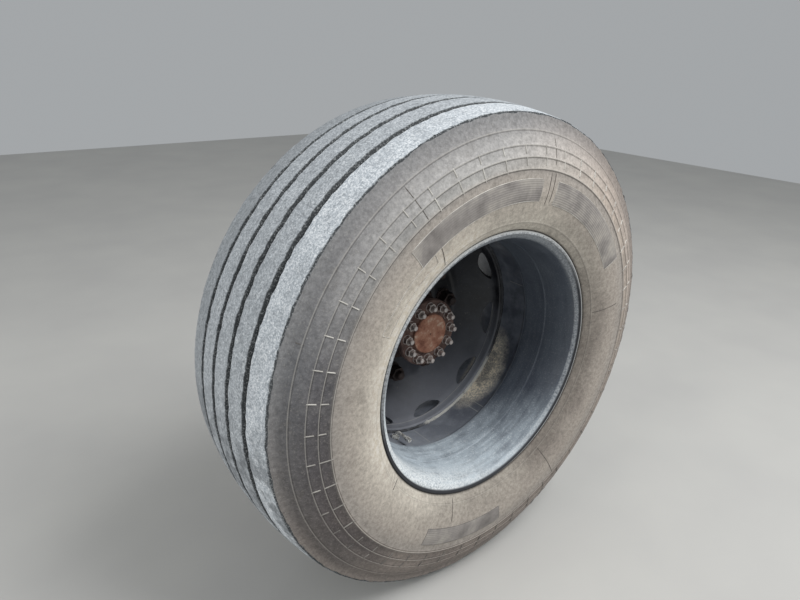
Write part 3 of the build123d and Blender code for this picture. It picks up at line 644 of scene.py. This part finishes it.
out = np.array([1.0, 0.8, 0.62, 0.46, 0.32, 0.2, 0.1, 0.035, 0.0])
share = np.concatenate([out, out[::-1]])[:, None]
depth = np.concatenate([np.zeros(8), [0.1, 0.9], np.ones(8)])[:, None]
sector_x, sector_s = hole_x + (edge_x - hole_x) * share, hole_s + (edge_s - hole_s) * share
centres = (FIRST_HOLE + SECTOR * np.arange(10))[:, None, None]
holed = disc_point(centres + sector_x[None] / HOLE_R, sector_s[None], depth[None])
# The rest of the disc is carried round: from the holes' band to the bore and back, and the skirt's edge
rounds = FIRST_HOLE - SECTOR / 2 + SECTOR / SPLIT * np.arange(10 * SPLIT)
inner_s = np.concatenate([[BAND], np.linspace(72.0, face_s[11] - 6.0, 4), face_s[11:]])
inner_depth = np.repeat([0.0, 1.0], len(inner_s))
inner = disc_point(rounds[:, None], np.append(inner_s, inner_s[::-1])[None, :], inner_depth)
skirt_edge = bend((59.5, 254.4), (56.8, 256.6), (56.0, 260.0), 5)
skirt_edge = np.concatenate([skirt_edge, [(56.0, 264.5)]])
skirt = carried_round(skirt_edge[None, :, 0], skirt_edge[None, :, 1], rounds)
blocks, faces, count = [], [], 0
for grid in list(holed) + [inner.transpose(1, 0, 2), skirt.transpose(1, 0, 2)]:
    blocks.append(grid.reshape(-1, 3))
    faces.append(cells(*grid.shape[:2], rows_close=False) + count)
    count += len(blocks[-1])


def sewn(piece, sharp):
    """Merges the points that grids share along their edges and at a pole, and turns every face outward."""
    work = bmesh.new()
    work.from_mesh(piece.data)
    bmesh.ops.remove_doubles(work, verts=work.verts, dist=2e-5)
    bmesh.ops.recalc_face_normals(work, faces=work.faces)
    work.to_mesh(piece.data)
    work.free()
    piece.data.set_sharp_from_angle(angle=np.radians(sharp))


# Black enamel over pressed plate: satin where it is clean, matt grey under dust, and pale at the holes'
# edges with rubbed paint and a painted highlight
disc_paint, node, shader, place = new_material("sprayed_black_enamel", 0.5)
blots = node("TexNoise", place, Scale=13.0, Detail=7.0, Roughness=0.62)
specks = node("TexNoise", place, Scale=170.0, Detail=3.0, Roughness=0.7)
# It is paler low on its right, along (0.42, -0.91): dust, and painted shade that darkens the upper disc
low = node("VectorMath", place, (0.42, 0.0, -0.91), out="Value", operation="DOT_PRODUCT")
low = node("MapRange", low, 0.09, 0.24, 0.0, 0.70)
dusty = node("Math", blots, 0.7, -0.33, operation="MULTIPLY_ADD")
dusty = node("Math", dusty, low, operation="ADD", use_clamp=True)
colour = node("MixRGB", dusty, "#17181d", "#6d7079")
fleck = node("MapRange", specks, 0.64, 0.76, 0.0, 0.4)
colour = node("MixRGB", fleck, colour, "#8d8779")
# A painted highlight: a bright hair line round the skirt, 74.5 mm inboard of the middle plane
from_middle = past_middle(node, place)
skirt_dust = node("MapRange", from_middle, 0.088, 0.070, 0.0, 0.45)
skirt_dust = node("Math", skirt_dust, dusty, operation="MULTIPLY")
colour = node("MixRGB", skirt_dust, colour, "#a6a9b0")
line = node("Math", from_middle, 0.0745, 0.0005, operation="COMPARE")
line = node("Math", line, dusty, operation="MULTIPLY")
colour = node("MixRGB", line, colour, "#a4a29b")
# Sharp edges, where Pointiness is high, are paler: rubbed paint and a painted highlight
rubbed = node("MapRange", node("NewGeometry", out="Pointiness"), 0.54, 0.62, 0.0, 0.5)
feed(shader, Base_Color=node("MixRGB", rubbed, colour, "#a9a69e"))
feed(shader, Roughness=node("MapRange", dusty, 0.0, 1.0, 0.42, 0.75))
feed(shader, Normal=node("Bump", Height=specks, Strength=0.15, Distance=0.0006))
blocks, faces = np.concatenate(blocks), np.concatenate(faces)
disc = make_piece("pressed_disc", blocks, faces, "wheel", "painted_disc", disc_paint)
sewn(disc, 40.0)
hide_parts("wheel_disc")

# The weld that joins the skirt to the rim is a bead of steel, laid by a torch in short overlapping ripples
# and painted over with the rim.
CORNER_Y, CORNER_R = 57.0, 264.0
BEAD_STEPS, RIPPLE = 1660, 5
bead_angles = once_round(BEAD_STEPS)
scallop = np.abs(np.sin(np.pi * np.arange(BEAD_STEPS) / RIPPLE))
bead_size = 4.6 + 0.7 * scallop + round_noise(BEAD_STEPS, 24, 0.35)
for centre, tall in ((-85.0, 2.6), (-80.0, 2.2), (-31.0, 1.6), (64.0, 2.0), (150.0, 1.8)):
    gap = np.angle(np.exp(1j * (bead_angles - np.radians(centre))))
    bead_size = bead_size + tall * np.exp(-((gap / 0.018) ** 2))
turn = np.radians([200.0, 180.0, 205.0, 230.0, 255.0, 275.0, 300.0, 45.0])
reach = np.array([0.0, 1.0, 1.0, 1.0, 1.0, 1.0, 0.6, 0.5])
bead_y = CORNER_Y + bead_size[:, None] * (reach * np.cos(turn))[None, :]
bead_r = CORNER_R + bead_size[:, None] * (reach * np.sin(turn))[None, :]
weld_paint, node, shader, place = new_material("painted_weld_metal", 0.6)
patch = node("TexNoise", place, Scale=40.0, Detail=4.0)
# It is painted pale between -85 and -28 degrees, within 0.5 radians of -57: painted light, and dark
# elsewhere as painted shade
turned_by = angle_round(node, place)
from_lit_stretch = node("Math", turned_by, -1.0, operation="SUBTRACT")
from_lit_stretch = node("Math", from_lit_stretch, operation="ABSOLUTE")
near = node("MapRange", from_lit_stretch, 0.62, 0.42, -0.2, 0.4)
patch = node("Math", patch, near, operation="ADD")
colour = node("ValToRGB", patch, stops=((0.35, "#26282c"), (0.60, "#57595d"), (0.85, "#b7b6b0")))
feed(shader, Base_Color=colour)
weld = carried_round(bead_y[:, 1:], bead_r[:, 1:], bead_angles)
make_piece("skirt_weld", weld, cells(*weld.shape[:2]), "wheel", "painted_rim", weld_paint, 60.0)

# The hub and the brake drum behind it are iron castings, left bare on the road side and brown with rust.
# The wheel studs clamp the disc, the drum and the hub's flange together.
rust, node, shader, place = new_material("rusted_cast_iron", 0.85)
blots = node("TexNoise", place, Scale=24.0, Detail=7.0, Roughness=0.65)
grain = node("TexNoise", place, Scale=330.0, Detail=3.0, Roughness=0.7)
IRON_RUST = ((0.30, "#241c1a"), (0.48, "#3b2b27"), (0.62, "#583e34"), (0.78, "#7a5c4c"))
feed(shader, Base_Color=node("ValToRGB", blots, stops=IRON_RUST))
feed(shader, Normal=node("Bump", Height=grain, Strength=0.4, Distance=0.0008))


def softened(corners, cut):
    """A closed outline, each corner b cut back to a and c and bridged by (1-t)^2 a + 2t(1-t) b + t^2 c."""
    corners = np.asarray(corners, dtype=float)
    cut = np.broadcast_to(cut, len(corners))[:, None]
    ends = []
    for step in (1, -1):
        edge = np.roll(corners, step, axis=0) - corners
        length = np.linalg.norm(edge, axis=1, keepdims=True)
        ends.append(corners + edge / length * np.minimum(cut, 0.45 * length))
    t = np.linspace(0.0, 1.0, 5)[None, :, None]
    bridge = (1 - t) ** 2 * ends[0][:, None] + 2 * t * (1 - t) * corners[:, None] + t**2 * ends[1][:, None]
    return bridge.reshape(-1, 2)


hub_corners = [
    (60.0, 57.0), (60.0, 80.0), (145.0, 84.0), (149.0, 104.0), (153.0, 109.9), (177.0, 109.9),
    (177.0, 162.0), (197.0, 162.0), (197.0, 120.0), (211.0, 98.0), (242.0, 91.0), (242.0, 60.0),
    (230.0, 60.0), (230.0, 45.05), (192.0, 45.05), (192.0, 62.0), (104.0, 62.0), (104.0, 35.05),
    (74.0, 35.05), (74.0, 57.0),
]
hub_cuts = [
    1.0, 2.5, 5.0, 5.0, 2.0, 0.5, 0.5, 2.0, 6.0, 10.0, 3.0, 1.0, 1.0, 0.5, 0.5, 1.0,
    1.0, 0.5, 0.5, 1.0,
]
hub = turned("cast_hub", softened(hub_corners, hub_cuts), 192, "wheel", "rusty_casting", rust)
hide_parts("hub")
drum_corners = [
    (168.0, 110.4), (168.0, 174.0), (181.0, 193.0), (193.0, 204.0), (282.0, 207.0), (284.0, 216.0),
    (300.0, 216.0), (300.0, 190.5), (199.0, 190.5), (191.0, 184.0), (177.0, 166.0), (177.0, 110.4),
]
drum_cuts = [0.3, 5.0, 6.0, 6.0, 3.0, 2.0, 1.5, 1.5, 4.0, 4.0, 3.0, 0.3]
drum = turned("cast_brake_drum", softened(drum_corners, drum_cuts), 192, "wheel", "rusty_casting", rust)
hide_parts("brake_drum")

# The wheel nuts: ten hexagon nuts of forged steel with a round seat, run tight on the disc. Rust has crept
# over them and the wrench has polished their corners.
STUD_CIRCLE_R, STUD_COUNT, STUD_START = 142.875, 10, np.radians(10.0)


def round_the_axle(local, count, circle_r, start, spins):
    """Copies of a grid of (u, y, v) points, turned by their own spin and set on a circle round the axle.

    Copy k stands at the angle t = start + 2 pi k / count. Its point goes to x = R cos t + u cos s - v sin s
    and z = R sin t + u sin s + v cos s, for its spin s.
    """
    t = (start + 2 * np.pi * np.arange(count) / count)[:, None, None]
    s = np.broadcast_to(spins, count)[:, None, None]
    u, y, v = local[None, :, :, 0], local[None, :, :, 1], local[None, :, :, 2]
    x = circle_r * np.cos(t) + u * np.cos(s) - v * np.sin(s)
    z = circle_r * np.sin(t) + u * np.sin(s) + v * np.cos(s)
    points = np.stack([x, WHEEL_Y + y + 0 * x, z], axis=-1)
    one = cells(local.shape[0], local.shape[1])
    faces = one[None] + (np.arange(count) * local.shape[0] * local.shape[1])[:, None, None]
    return points, faces.reshape(-1, 4)


def hexagon_nut(flats, face_y, base_y, seat_r, seat_height, bore_r, steps=72):
    """A nut as a closed grid: rows go up its outside, over its top and down its bore; columns go round it.

    The outside is a hexagon, flats / 2 / cos(angle to the middle of the nearest flat), cut at its top by a
    cone of 30 degrees. That cone gives the curved edges where the flats end.
    """
    a = once_round(steps)[None, :]
    hexagon = flats / 2 / np.cos((a + np.pi / 6) % (np.pi / 3) - np.pi / 6)
    tip_r = flats / 2 * 0.97
    rise = np.array([0.3, 0.8, 1.4, 2.1, 2.9, 3.8])[:, None] * flats / 33.0
    outside = [np.full((1, steps), seat_r) * f for f in (1.0, 1.0, 0.975, 0.9)]
    seat_y = [base_y, base_y - seat_height * 0.55, base_y - seat_height * 0.8, base_y - seat_height]
    body_y = [base_y - seat_height - 0.2, face_y + rise[-1, 0] + 1.5]
    chamfered = np.minimum(hexagon, tip_r + 1.0 + rise * 1.75)
    top = [np.full((1, steps), f) for f in (tip_r, bore_r + 1.8, bore_r, bore_r)]
    rows = outside + [hexagon, hexagon] + [chamfered[::-1]] + top
    r = np.concatenate(rows)
    y = np.concatenate([seat_y, body_y, face_y + rise[::-1, 0], [face_y, face_y, face_y + 1.6, base_y]])
    return np.stack([r * np.cos(a), y[:, None] + 0 * a, r * np.sin(a)], axis=-1)


def worn_and_highlit_steel(name, roughness, metallic, patch_scale, rust_stops, worn_and_lit_code, worn_and_lit_range):
    """Forged steel under patches of rust, paler on its outward corners, where Pointiness is high: rubbed
    there, and a painted highlight.

    The corners' range gives the Pointiness where they begin to pale and where they are full, and the share
    at each.
    """
    made, node, shader, place = new_material(name, roughness, metallic)
    blots = node("TexNoise", place, Scale=patch_scale, Detail=6.0, Roughness=0.65)
    grain = node("TexNoise", place, Scale=500.0, Detail=2.0)
    worn_and_lit = node("MapRange", node("NewGeometry", out="Pointiness"), *worn_and_lit_range)
    feed(shader, Base_Color=node("MixRGB", worn_and_lit, node("ValToRGB", blots, stops=rust_stops), worn_and_lit_code))
    feed(shader, Normal=node("Bump", Height=grain, Strength=0.3, Distance=0.0004))
    return made


# The drive nuts and studs shine dully through a thin brown film. The wheel nuts have the same steel, but
# lie deep in the dish, and their rust is painted dark as painted shade
THIN_RUST = ((0.32, "#4c3d3a"), (0.50, "#7d6a64"), (0.66, "#a1948e"), (0.80, "#bdb6b1"))
DARK_RUST_AND_SHADE = ((0.32, "#1d1716"), (0.52, "#332826"), (0.70, "#52403b"))
steel = worn_and_highlit_steel("rusted_forged_steel_with_painted_highlights", 0.6, 0.35, 60.0, THIN_RUST, "#d8d5d1", (0.51, 0.58, 0.0, 0.8))
dark_worn = (0.53, 0.62, 0.0, 0.35)
shaded_dark_steel = worn_and_highlit_steel("rusted_steel_with_painted_shade", 0.75, 0.1, 50.0, DARK_RUST_AND_SHADE, "#8a7d78", dark_worn)
spins = np.radians(dice.uniform(0.0, 60.0, STUD_COUNT))
wheel_nut = hexagon_nut(flats=33.0, face_y=124.0, base_y=154.0, seat_r=23.0, seat_height=6.0, bore_r=11.05)
made = round_the_axle(wheel_nut, STUD_COUNT, STUD_CIRCLE_R, STUD_START, spins)
nuts = make_piece("wheel_nuts_hexagon", *made, "wheel", "rusty_fastener", shaded_dark_steel, 24.0)
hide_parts("wheel_nuts")


def threaded_stud(radius, tip_y, thread_end_y, foot_y, pitch, deep, head_r, head, steps=24):
    """A stud as a grid of rows along it, its thread a triangle wave of angle and height, `deep` at most.

    The wave's phase is y / pitch + angle / 2 pi, so its crests climb one pitch in each turn. Its head lies
    behind foot_y.
    """
    a = once_round(steps)[None, :]
    y = np.arange(tip_y + 1.2, thread_end_y, pitch / 4)[:, None]
    wave = np.abs(2 * ((y / pitch + a / (2 * np.pi)) % 1.0) - 1.0)
    thread = radius - deep * wave
    tip = np.array([0.0, radius - deep - 1.0, radius - deep])[:, None] + 0 * a
    foot = np.array([radius, radius, head_r, head_r, 0.0])[:, None] + 0 * a
    r = np.concatenate([tip, thread, foot])
    foot_rows = [thread_end_y + 0.5, foot_y, foot_y, foot_y + head, foot_y + head]
    rows = np.concatenate([[tip_y, tip_y, tip_y + 1.0], y[:, 0], foot_rows])
    return np.stack([r * np.cos(a), rows[:, None] + 0 * a, r * np.sin(a)], axis=-1)


# The studs that the nuts run on. Their thread is 1.5 mm in pitch, drawn at 3 mm so that it shows
wheel_stud = threaded_stud(
    radius=11.0, tip_y=112.0, thread_end_y=130.0, foot_y=197.0, pitch=3.0, deep=0.9, head_r=16.0, head=9.0
)
made = round_the_axle(wheel_stud, STUD_COUNT, STUD_CIRCLE_R, STUD_START, spins)
studs = make_piece("wheel_studs_threaded", *made, "wheel", "rusty_fastener", shaded_dark_steel, 40.0)
sewn(studs, 40.0)
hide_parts("wheel_studs")

# The axle shaft is one forging: the flange that drives the hub, with a machined boss, and the splined inner
# end. The boss is bright orange-brown rust with tan scale, the flange round it is dark and greasy, and the
# shaft runs in oil inside the axle.
boss_rust, node, shader, place = new_material("rusted_forging", 0.8)
blots = node("TexNoise", place, Scale=34.0, Detail=8.0, Roughness=0.72)
grain = node("TexNoise", place, Scale=400.0, Detail=3.0, Roughness=0.7)
BOSS_RUST = ((0.36, "#633a2b"), (0.48, "#865a47"), (0.57, "#966e5a"), (0.67, "#b09c8b"))
colour = node("ValToRGB", blots, stops=BOSS_RUST)
radius = from_axle(node, place)
# The forging's centre mark is a dark pit 3 mm across
pit = node("MapRange", radius, 0.0024, 0.0012, 0.0, 0.9)
colour = node("MixRGB", pit, colour, "#1c1413")
greasy = node("MapRange", radius, 0.0475, 0.0505, 0.0, 0.9)
grease = node("ValToRGB", blots, stops=((0.35, "#3c2e2c"), (0.60, "#66534d"), (0.78, "#8e7d75")))
colour = node("MixRGB", greasy, colour, grease)
# The oiled length begins behind the flange, 62 mm inboard of the middle plane
inside = node("MapRange", past_middle(node, place), 0.060, 0.064)
oiled = node("Math", inside, 0.8, operation="MULTIPLY")
colour = node("MixRGB", oiled, colour, "#8a8886")
feed(shader, Base_Color=colour, Metallic=oiled, Roughness=node("MapRange", oiled, 0.0, 1.0, 0.8, 0.35))
feed(shader, Normal=node("Bump", Height=grain, Strength=0.4, Distance=0.0007))
SPLINES, PER_SPLINE = 24, 12
angles = once_round(SPLINES * PER_SPLINE)
tooth = np.clip(1.8 * np.cos(SPLINES * angles) + 0.5, 0.0, 1.0)[:, None]
shaft_line = np.concatenate([
    [(36.0, 0.0), (36.0, 44.0)],
    bend((36.0, 45.5), (36.9, 48.1), (39.5, 49.0), 5),
    [(43.0, 49.0), (44.0, 50.5), (44.0, 78.5)],
    bend((44.0, 79.0), (44.9, 81.1), (47.0, 82.0), 4),
    [(59.0, 82.0), (60.0, 81.0), (60.0, 32.0), (63.0, 26.0), (66.0, 22.0), (430.0, 22.0), (434.0, 24.0)],
    [(487.0, 24.0), (490.0, 21.2), (490.0, 0.0)],
])
splined = (shaft_line[:, 0] > 432.0) & (shaft_line[:, 1] > 20.0)
shaft_r = np.where(splined[None, :], 21.0 + tooth * (shaft_line[None, :, 1] - 21.0), shaft_line[None, :, 1])
points = carried_round(shaft_line[None, :, 0], shaft_r, angles)
faces = cells(*points.shape[:2])
shaft = make_piece("forged_axle_shaft", points, faces, "wheel", "rusty_casting", boss_rust)
sewn(shaft, 32.0)
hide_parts("axle_shaft")

# Twelve studs and their nuts hold the drive flange to the hub's nose, with a plain washer under each nut.
# They are forged and threaded like the wheel's, but lie in the open, and their rust is thin.
DRIVE_COUNT, DRIVE_CIRCLE_R = 12, 66.0
drive_spins = np.radians(dice.uniform(0.0, 60.0, DRIVE_COUNT))
drive_nut = hexagon_nut(
    flats=19.0, face_y=33.0, base_y=44.0, seat_r=11.6, seat_height=2.0, bore_r=6.05, steps=48
)
made = round_the_axle(drive_nut, DRIVE_COUNT, DRIVE_CIRCLE_R, 0.0, drive_spins)
drive_nuts = make_piece("drive_flange_nuts_hexagon", *made, "wheel", "rusty_fastener", steel, 24.0)
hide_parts("drive_flange_nuts")
drive_stud = threaded_stud(
    radius=6.0, tip_y=22.0, thread_end_y=36.0, foot_y=85.0, pitch=2.4, deep=0.55, head_r=6.0, head=0.0,
    steps=20,
)
made = round_the_axle(drive_stud, DRIVE_COUNT, DRIVE_CIRCLE_R, 0.0, drive_spins)
drive_studs = make_piece("drive_flange_studs_threaded", *made, "wheel", "rusty_fastener", steel, 40.0)
sewn(drive_studs, 40.0)
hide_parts("drive_flange_studs")

# The valve is turned brass, plated and dulled, fixed through the rim, with a hexagon cap on its end. Its
# shape is the CAD part's own, and it needs no more than a metal finish.
brass, node, shader, place = new_material("dull_plated_brass", 0.42, 0.4)
film = node("TexNoise", place, Scale=160.0, Detail=5.0)
PLATE = ((0.35, "#8f8d88"), (0.5, "#dad9d4"), (0.7, "#f3f2ee"))
feed(shader, Base_Color=node("ValToRGB", film, stops=PLATE))


def refinish(material, *names):
    """Gives CAD nodes, whose shape is right, a better material."""
    for name in names:
        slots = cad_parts[name].data.materials
        slots.clear()
        slots.append(material)


refinish(brass, "valve_stem", "valve_cap")

# The balance weight is cast zinc in grey paint, clipped on the inboard flange. Its shape is the CAD part's
# own as well.
zinc, node, shader, place = new_material("painted_cast_zinc", 0.55, 0.3)
film = node("TexNoise", place, Scale=120.0, Detail=4.0)
feed(shader, Base_Color=node("ValToRGB", film, stops=((0.35, "#6e7072"), (0.7, "#8f9192"))))
refinish(zinc, "balance_weight")

# The axle end is a forged spindle with its flange machined to meet the axle casing, and a pressed plate
# that closes the drum. Both were painted black when new and have road dust on them.
forged, node, shader, place = new_material("black_painted_forging", 0.65)
blots = node("TexNoise", place, Scale=14.0, Detail=6.0, Roughness=0.6)
grain = node("TexNoise", place, Scale=260.0, Detail=3.0)
colour = node("ValToRGB", blots, stops=((0.32, "#2b2c2f"), (0.52, "#3d3d3e"), (0.70, "#6a6156")))
feed(shader, Base_Color=colour, Normal=node("Bump", Height=grain, Strength=0.25, Distance=0.0006))
refinish(forged, "spindle", "backing_plate")

# A plain pale floor that the tyre stands on, and soft studio light: a wide lamp in front and above, a
# weaker one on the left, and a pale surround.
FLOOR_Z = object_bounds()[0][2]
floor_mesh = bpy.data.meshes.new("floor")
reach = 6.0
corners = [(x * reach, y * reach, FLOOR_Z) for x, y in ((-1, -1), (1, -1), (1, 1), (-1, 1))]
floor_mesh.from_pydata(corners, [], [(0, 1, 2, 3)])
floor = bpy.data.objects.new("floor", floor_mesh)
bpy.context.scene.collection.objects.link(floor)
plaster, node, shader, place = new_material("matt_floor_paint", 0.9)
shade = node("TexNoise", place, Scale=3.0, Detail=3.0)
feed(shader, Base_Color=node("ValToRGB", shade, stops=((0.3, "#b9b8b5"), (0.7, "#bfbeba"))))
floor_mesh.materials.append(plaster)


def soft_lamp(name, place, size, watts):
    """A square lamp of that size in metres, turned to face the middle of the wheel."""
    lamp = bpy.data.lights.new(name, "AREA")
    lamp.size, lamp.energy = size, watts
    held = bpy.data.objects.new(name, lamp)
    held.location = place
    aim = Vector((0.0, WHEEL_Y / 1000.0, 0.0)) - Vector(place)
    held.rotation_euler = aim.to_track_quat("-Z", "Y").to_euler()
    bpy.context.scene.collection.objects.link(held)


soft_lamp("high_lamp", (1.3, -2.3, 3.2), 2.2, 150.0)
soft_lamp("left_lamp", (-3.9, -0.3, 1.4), 2.4, 60.0)
world = bpy.data.worlds.new("pale_surround")
bpy.context.scene.world = world
world.use_nodes = True
world.node_tree.nodes["Background"].inputs["Color"].default_value = linear("#dfe3e6")
world.node_tree.nodes["Background"].inputs["Strength"].default_value = 0.5

# The camera stands where the photograph was taken, close to the wheel, to its left and above its middle
camera = bpy.data.cameras.new("camera")
camera.lens, camera.sensor_width = 29.0, 36.0
held = bpy.data.objects.new("camera", camera)
right, down = Vector((0.7825, -0.6217, 0.0332)), Vector((-0.2105, -0.3144, -0.9256))
turned_to = Matrix((right, -down, right.cross(-down))).transposed().to_4x4()
held.matrix_world = Matrix.Translation((-0.9263, -1.3201, 0.6421)) @ turned_to
bpy.context.scene.collection.objects.link(held)
bpy.context.scene.camera = held
bpy.context.scene.view_settings.view_transform = "Standard"
